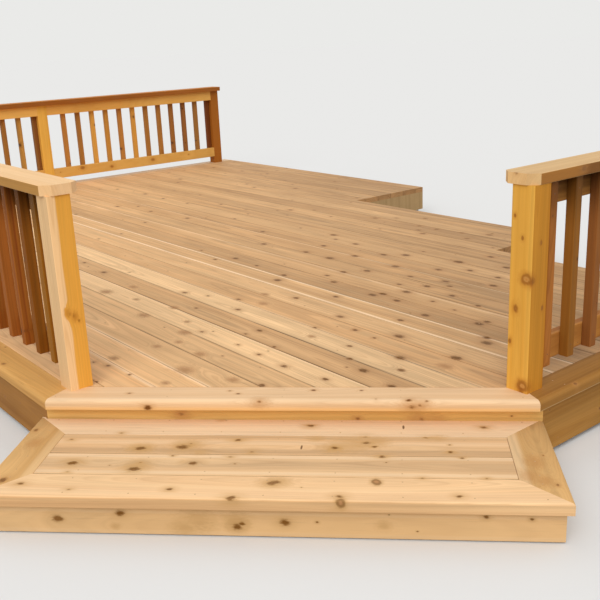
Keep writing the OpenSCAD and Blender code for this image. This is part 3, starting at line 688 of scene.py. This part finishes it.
def paintPosts():
    # knots of the two posts at the step: height, place on the face, reach
    single = {"start": -halfPost, "pitch": 50.0, "width": 2 * halfPost, "top": halfPost}
    leftKnots = [(0.293, (halfPost, -0.011), 0.012, 0.6), (0.284, (halfPost, 0.002), 0.012, 0.5),
                 (0.262, (halfPost, 0.020), 0.006, 0.2)]
    leftSoft = [(0.300, (halfPost, -0.020), 0.012), (0.280, (halfPost, 0.006), 0.012)]
    left = dict(golden, heart=(0.84, 0.43, 0.08), heartRed=(0.80, 0.385, 0.06), sap=(0.92, 0.595, 0.30),
                knot=(0.38, 0.15, 0.02), knotShare=0.0, pinShare=0.0)
    # The left post's front face is tinted greyer and darker: painted shade.
    paint("post_step_left", woodLook("leftStepPost", upright, single, left, leftKnots, leftSoft, seed=20.0,
                                     origin=postCentre("post_step_left"),
                                     sapFace=((0, 0, 1), -halfPost, 0.031),
                                     sideTint=((0, -1, 0), (0.80, 0.82, 0.84))))
    rightKnots = [(0.548, (0.003, -halfPost), 0.006), (0.300, (-0.0146, -halfPost), 0.011),
                  (0.177, (-0.035, -halfPost), 0.008), (0.530, (halfPost, 0.001), 0.008),
                  (0.299, (halfPost, 0.0216), 0.008), (0.620, (-0.030, -halfPost), 0.005),
                  (0.400, (halfPost, -halfPost), 0.010), (0.006, (0.018, -halfPost), 0.014)]
    rightRings = [(0.4095, (0.026, -halfPost), 0.018), (0.026, (0.024, -halfPost), 0.018)]
    right = dict(golden, knotShare=0.0, pinShare=0.0)
    # The right post's right side is tinted darker: painted shade.
    paint("post_step_right", woodLook("rightStepPost", upright, single, right, rightKnots,
                                      ringKnots=rightRings, seed=21.0, origin=postCentre("post_step_right"),
                                      sideTint=((1, 0, 0), (0.78, 0.62, 0.38))))
    house = dict(golden, heart=(0.52, 0.22, 0.05), heartRed=(0.46, 0.18, 0.04))
    paint("post_house", woodLook("housePost", upright, single, house, seed=22.0,
                                 origin=postCentre("post_house")))
    bay = {"start": -deckPlan["frontBay"] / 2, "pitch": deckPlan["frontBay"], "width": deckPlan["frontBay"],
           "top": halfPost}
    paint("posts_front", woodLook("frontPosts", upright, bay, golden, seed=23.0,
                                  origin=postCentre("post_step_left")))
    low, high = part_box("posts_left")
    endPlace = Vector((low.x + halfPost, high.y - halfPost, deckPlan["deckTop"]))
    across = ((0, 0, 1), (0, 1, 0), (1, 0, 0))
    farBay = {"start": -1.0, "pitch": 1.5, "width": 2.0, "top": halfPost}
    darkEnd = [(0, 0.95, (0.315, 0.094, 0.010))]
    paint("posts_left", woodLook("leftPosts", across, farBay, golden, rowLooks=darkEnd, seed=24.0,
                                 origin=endPlace))


# Rails, balusters and caps

def paintRails():
    rails = {"start": 0.30, "pitch": 0.5, "width": 0.10}
    frontRails = dict(rails, alongStart=-5.9, alongPitch=deckPlan["frontBay"])
    rightRails = dict(rails, alongStart=0.0, alongPitch=9.0)
    leftRails = dict(rails, alongStart=0.15, alongPitch=deckPlan["leftBay"])
    dark = {"heart": (0.46, 0.20, 0.045), "heartRed": (0.36, 0.13, 0.025), "late": (0.3, 0.11, 0.02),
            "knotGap": 0.5, "streakShow": 0.25}
    orange = dict(golden, heart=(0.70, 0.385, 0.095), heartRed=(0.63, 0.315, 0.070), knotGap=0.40)
    # The front and right rails are darker towards the caps: painted shade under the caps.
    shadeUnder = [((0, 1, 0), 0.966, 0.13, -0.55)]
    paint("rails_front", woodLook("frontRails", onEdgeX, frontRails, dark, fades=shadeUnder, seed=30.0))
    paint("rails_right", woodLook("rightRails", onEdgeY, rightRails, dark, fades=shadeUnder, seed=31.0))
    paint("rails_left", woodLook("leftRails", onEdgeY, leftRails, orange, rowTones=[(0, -0.04), (1, 0.10)],
                                 tilt=(-0.07, 0.0, 0.22), seed=32.0))


def paintBalusters():
    redBrown = {"heart": (0.375, 0.125, 0.017), "heartRed": (0.25, 0.058, 0.007), "rowMix": 0.5,
                "late": (0.16, 0.045, 0.008), "sap": (0.50, 0.27, 0.09),
                "boardSpread": 0.22, "streakShow": 0.40, "halo": (0.15, 0.05, 0.012),
                "knot": (0.07, 0.025, 0.008), "knotMiddle": (0.18, 0.07, 0.02), "knotGap": 0.33,
                "knotSmall": 0.004, "knotBig": 0.011}
    farTone = dict(redBrown, heart=(0.56, 0.28, 0.060), heartRed=(0.34, 0.125, 0.022), rowMix=1.0)
    dark = dict(redBrown, heart=(0.28, 0.095, 0.014), heartRed=(0.22, 0.060, 0.010))
    spacing = {"start": -0.05, "pitch": 0.142, "width": 0.138}
    # The tops of the front and right balusters are darker: painted shade under the caps.
    shadeUnder = [((1, 0, 0), 0.725, 0.20, -0.50)]
    olive, umber, rust = (0.33, 0.14, 0.012), (0.23, 0.080, 0.005), (0.46, 0.14, 0.024)
    deep, dusk = (0.16, 0.035, 0.006), (0.22, 0.085, 0.022)
    amber, gold = (0.42, 0.155, 0.030), (0.60, 0.29, 0.050)
    frontRows = {1: [(0, 0.8, olive), (1, 0.8, umber), (3, 0.6, rust)], 2: [(1, 0.6, olive)],
                 3: [(2, 0.5, rust)]}
    farRows = {1: [(0, 0.6, dusk), (2, 0.6, amber), (5, 0.6, gold), (8, 0.6, dusk)],
               2: [(0, 0.8, deep), (1, 0.7, dusk), (2, 0.7, dusk), (3, 0.7, deep), (4, 0.7, amber),
                   (5, 0.7, amber), (6, 0.8, gold), (7, 0.7, amber), (8, 0.6, gold), (9, 0.8, gold),
                   (10, 0.7, amber), (11, 0.7, amber)]}
    rightRow = [(0, 0.75, (0.52, 0.19, 0.035)), (1, 0.7, (0.23, 0.095, 0.012)),
                (2, 0.5, (0.31, 0.13, 0.035))]

    # rows are counted from the highest corner of a bay, on the right side from its lowest
    def paintBay(side, number, corner, way, changes, **more):
        name = "balusters_" + side + ("_%d" % number if number else "")
        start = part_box(name)[corner]
        start = Vector((start.x, start.y, deckPlan["deckTop"]))
        title = side + "Balusters" + (str(number) if number else "")
        paint(name, woodLook(title, way, spacing, changes, origin=start, **more))

    for number in (1, 2, 3):
        paintBay("front", number, 1, ((0, 0, 1), (-1, 0, 0), (0, 1, 0)), redBrown, seed=40.0 + number,
                 rowLooks=frontRows[number], fades=shadeUnder)
    for number in (1, 2):
        paintBay("left", number, 1, ((0, 0, 1), (0, -1, 0), (1, 0, 0)), farTone, seed=45.0 + number,
                 rowLooks=farRows[number])
    paintBay("right", 0, 0, ((0, 0, 1), (0, 1, 0), (1, 0, 0)), dark, seed=48.0, rowLooks=rightRow,
             fades=shadeUnder)


def paintCaps():
    pale = {"heart": (0.85, 0.555, 0.29), "heartRed": (0.81, 0.51, 0.25),
            "streakShow": 0.12, "ringShow": 0.10, "boardSpread": 0.0, "knotShare": 0.15, "pinShare": 0.1,
            "endCut": (1.08, 1.08, 1.10), "endShow": 1.0}
    dim = dict(pale, heart=(0.65, 0.43, 0.205), heartRed=(0.60, 0.38, 0.175), endCut=(1.25, 1.25, 1.22))
    farCap = {"heart": (0.475, 0.173, 0.025), "heartRed": (0.405, 0.139, 0.019)}
    whole = {"start": -5.0, "pitch": 50.0, "width": 10.0, "top": deckPlan["capTop"]}
    capKnots = [(1.517, (-0.0645, 0.990), 0.012), (1.236, (-0.138, 1.003), 0.009),
                (2.050, (-0.100, 1.004), 0.012)]
    # the caps' outer sides are browner than their tops, the right one from brown to dark
    frontSide = ((0, -1, 0), (0.55, 0.435, 0.21))
    rightSide = ((1, 0, 0), (0.62, 0.40, 0.18), (1.46, 1.56), (0.37, 0.23, 0.11))
    leftSide = ((1, 0, 0), (0.62, 0.54, 0.50))
    paint("cap_front", woodLook("frontCap", alongX, whole, pale, sideTint=frontSide, seed=50.0))
    paint("cap_right", woodLook("rightCap", alongY, whole, dim, capKnots, sideTint=rightSide, seed=51.0))
    paint("cap_left", woodLook("leftCap", alongY, whole, farCap, sideTint=leftSide, seed=52.0))


# Framing and footings

def paintFraming():
    fir = {"heart": (0.50, 0.36, 0.19), "heartRed": (0.44, 0.31, 0.16), "late": (0.33, 0.20, 0.09),
           "sap": (0.60, 0.46, 0.27), "sapShare": 0.25, "ringShow": 0.35, "rough": 0.8}
    flat = {"start": -5.0, "pitch": 50.0, "width": 10.0}
    paint("rim_front", "ledgers", "blocking", woodLook("framingAlong", onEdgeX, flat, fir, seed=60.0))
    paint("rim_right", "rim_left", "joists", "border_joists",
          woodLook("framingAcross", onEdgeY, flat, fir, seed=61.0))
    paint("rim_clip", "step_frame",
          woodLook("framingStep", onEdgeStep, flat, fir, seed=62.0, origin=stepMiddle))
    paint("step_sleepers", woodLook("sleeperWood", outOfStep, flat, fir, seed=63.0, origin=stepMiddle))
    bench = Bench("padConcrete")
    place = bench.wire("TexCoord", None, None, "Object")
    coarse = bench.noise(bench.vectors("MULTIPLY", place, (9.0, 9.0, 9.0)), 5.0, 0.6)
    grit = bench.noise(bench.vectors("MULTIPLY", place, (240.0, 240.0, 240.0)), 3.0, 0.7)
    colour = bench.mixed(coarse, (0.42, 0.41, 0.385), (0.55, 0.535, 0.50))
    colour = bench.mixed(grit.band(0.52, 0.68) * 0.5, colour, (0.30, 0.29, 0.27))
    normal = bench.wire("Bump", None, {"Strength": 0.5, "Distance": 0.002, "Height": grit + coarse})
    paint("footing_pads", bench.finish({"Base Color": colour, "Roughness": 0.9, "Normal": normal}))


# Screws

screwPlan = {
    "radius": 0.0030,
    "proud": 0.0003,
    "sides": 8,
    "margin": 0.010,  # least distance from the edge of a board
    "level": 0.0004,  # the wood round a screw is this flat
    "reach": 0.04,  # how far off the wood is looked for
    "joists": 15,
    "joistPitch": 0.406,
    "firstJoist": 0.115,
    "deckLength": 6.060,
    "fromCentre": 0.045,
    "frontLines": (0.030, 0.080),
    "sideLines": (-0.030, -0.080, -6.030, -5.980),
    "sideStart": 0.2,
    "sideCount": 10,
    "nosingLines": (0.035, 0.095),
    "treadRows": 4,
    "firstTread": -0.432,
    "stepPitch": 0.2084,
    "railHeights": (0.3515, 0.9215),
}


def screwLook(name, dark, pale):
    bench = Bench(name)
    place = bench.wire("TexCoord", None, None, "Object")
    speck = bench.noise(bench.vectors("MULTIPLY", place, (900.0, 900.0, 900.0)))
    colour = bench.mixed(speck, dark, pale)
    return bench.finish({"Base Color": colour, "Metallic": 0.2, "Roughness": 0.5})


# screw heads at those spots where they land on the wood of the carriers
def addScrews(name, carriers, spots, facing, look):
    trees = []
    for carrier in carriers:
        data = nodes[carrier].data
        corners = [vert.co for vert in data.vertices]
        trees.append(BVHTree.FromPolygons(corners, [face.vertices[:] for face in data.polygons]))
    facing = Vector(facing)
    turn = facing.to_track_quat("Z", "Y").to_matrix().to_4x4()
    around = ((1, 0, 0), (-1, 0, 0), (0, 1, 0), (0, -1, 0))
    around = [turn.to_3x3() @ Vector(side) * screwPlan["margin"] for side in around]
    reach = screwPlan["reach"]

    def landing(spot):
        found = [tree.ray_cast(spot + facing * reach, -facing, 2 * reach)[3] for tree in trees]
        found = [far for far in found if far is not None]
        return min(found) if found else 9.0

    shape = bmesh.new()
    for spot in spots:
        far = landing(spot)
        if far > 1 or any(abs(landing(spot + side) - far) > screwPlan["level"] for side in around):
            continue  # off the board, or too near its edge
        middle = spot + facing * (reach - far)
        bmesh.ops.create_cone(shape, cap_ends=True, segments=screwPlan["sides"],
                              radius1=screwPlan["radius"], radius2=screwPlan["radius"] * 0.8,
                              depth=screwPlan["proud"] * 2, matrix=Matrix.Translation(middle) @ turn)
    data = bpy.data.meshes.new(name)
    shape.to_mesh(data)
    shape.free()
    piece = bpy.data.objects.new(name, data)
    bpy.context.scene.collection.objects.link(piece)
    data.materials.append(look)
    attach(piece, "root")
    print(name, len(data.polygons), "faces")


# the middle of each baluster of a bay, from a copy of the bay's mesh
def balusterMiddles(name):
    shape = bmesh.new()
    shape.from_mesh(nodes[name].data)
    bmesh.ops.remove_doubles(shape, verts=shape.verts, dist=0.00001)
    waiting = dict.fromkeys(shape.verts)  # unlike a set, it keeps their order
    middles = []
    while waiting:
        edge = [waiting.popitem()[0]]
        group = list(edge)
        while edge:
            for link in edge.pop().link_edges:
                for vert in link.verts:
                    if vert in waiting:
                        del waiting[vert]
                        edge.append(vert)
                        group.append(vert)
        middles.append(sum((vert.co for vert in group), Vector()) / len(group))
    shape.free()
    return middles


def placeScrews():
    look = screwLook("tanScrewHeads", (0.46, 0.28, 0.13), (0.58, 0.37, 0.19))
    darkLook = screwLook("brownScrewHeads", (0.12, 0.045, 0.015), (0.20, 0.085, 0.03))
    top = Vector((0, 0, 1))
    joists = [screwPlan["firstJoist"] + screwPlan["joistPitch"] * number - screwPlan["deckLength"]
              for number in range(screwPlan["joists"])]
    pair = (-screwPlan["fromCentre"], screwPlan["fromCentre"])
    rows = [deckPlan["fieldStart"] + deckPlan["rowPitch"] * row + deckPlan["boardWidth"] / 2
            for row in range(deckPlan["rows"])]
    corner = deckCorner + Vector((0, 0, deckPlan["deckTop"]))
    field = [corner + Vector((x, y + side, 0)) for x in joists for y in rows for side in pair]
    carriers = ["deck_boards_front", "deck_boards_middle", "deck_boards_house", "deck_filler"]
    addScrews("deck_screws", carriers, field, top, look)

    edges = [corner + Vector((x, y, 0)) for x in joists for y in screwPlan["frontLines"]]
    edges += [corner + Vector((x, screwPlan["sideStart"] + screwPlan["joistPitch"] * number, 0))
              for x in screwPlan["sideLines"] for number in range(screwPlan["sideCount"])]
    along = Vector((slant, slant, 0))
    inward = Vector((-slant, slant, 0))
    nosing = stepMiddle + Vector((0, 0, deckPlan["deckTop"]))
    edges += [nosing + along * (screwPlan["stepPitch"] * 2 * number) + inward * deep
              for number in range(-2, 3) for deep in screwPlan["nosingLines"]]
    carriers = ["border_front", "border_right", "border_left", "border_step"]
    addScrews("border_screws", carriers, edges, top, look)

    step = stepMiddle + Vector((0, 0, deckPlan["stepTop"]))
    depths = [screwPlan["firstTread"] + deckPlan["treadPitch"] * row + side
              for row in range(screwPlan["treadRows"]) for side in pair]
    treads = [step + along * (screwPlan["stepPitch"] * number) + inward * deep
              for number in range(-4, 5) for deep in depths]
    carriers = ["tread_front", "tread_inner", "tread_back", "tread_sides"]
    addScrews("tread_screws", carriers, treads, top, look)

    sides = {"front": (("_front_1", "_front_2", "_front_3"), (0, -1, 0)),
             "left": (("_left_1", "_left_2"), (-1, 0, 0)), "right": (("_right",), (1, 0, 0))}
    for name, (bays, facing) in sides.items():
        carriers = ["balusters" + bay for bay in bays]
        middles = [middle for carrier in carriers for middle in balusterMiddles(carrier)]
        spots = [Vector((middle.x, middle.y, high)) for middle in middles
                 for high in screwPlan["railHeights"]]
        addScrews("baluster_screws_" + name, carriers, spots, facing, darkLook)


# Floor and light

daylight = {
    "sky": 0.82,
    "skyColour": (0.97, 0.985, 1.0),
    "sun": 1.65,
    "sunColour": (1.0, 0.97, 0.92),
    "softness": 50.0,
    "from": (0.60, -0.75, 0.85),
    "wall": (0.823, 0.823, 0.807),
    "floor": (0.72, 0.716, 0.708),
    "floorGlow": (0.34, 0.32, 0.29),  # what the floor throws back on the wood
}


def addStage():
    shape = bmesh.new()
    bmesh.ops.create_grid(shape, x_segments=2, y_segments=2, size=90.0)
    data = bpy.data.meshes.new("floor")
    shape.to_mesh(data)
    shape.free()
    floor = bpy.data.objects.new("floor", data)
    bpy.context.scene.collection.objects.link(floor)
    bench = Bench("floorPaint")
    shade = bench.mixed(bench.seen(), daylight["floorGlow"], daylight["floor"])
    data.materials.append(bench.finish({"Color": shade, "Roughness": 0.0}, "BsdfDiffuse"))

    world = bpy.data.worlds.new("daySky")
    bpy.context.scene.world = world
    bench = Bench("daySky", world)
    sky = bench.wire("Background", None, {"Color": daylight["skyColour"], "Strength": daylight["sky"]})
    wall = bench.wire("Background", None, {"Color": daylight["wall"], "Strength": 1.0})
    both = bench.wire("MixShader", None, {0: bench.seen(), 1: sky, 2: wall})
    bench.node("OutputWorld", None, {"Surface": both})

    lamp = bpy.data.lights.new("softSun", "SUN")
    lamp.energy = daylight["sun"]
    lamp.angle = math.radians(daylight["softness"])
    lamp.color = daylight["sunColour"]
    sun = bpy.data.objects.new("softSun", lamp)
    bpy.context.scene.collection.objects.link(sun)
    sun.rotation_mode = "QUATERNION"
    sun.rotation_quaternion = Vector(daylight["from"]).to_track_quat("Z", "Y")
    bpy.context.scene.view_settings.view_transform = "Standard"


addCamera()
addStage()
print("camera, floor and light placed")
paintDeck()
paintBorder()
paintStep()
paintFascia()
print("boards painted")
paintPosts()
paintRails()
paintBalusters()
paintCaps()
print("rails painted")
paintFraming()
print("framing painted")
placeScrews()
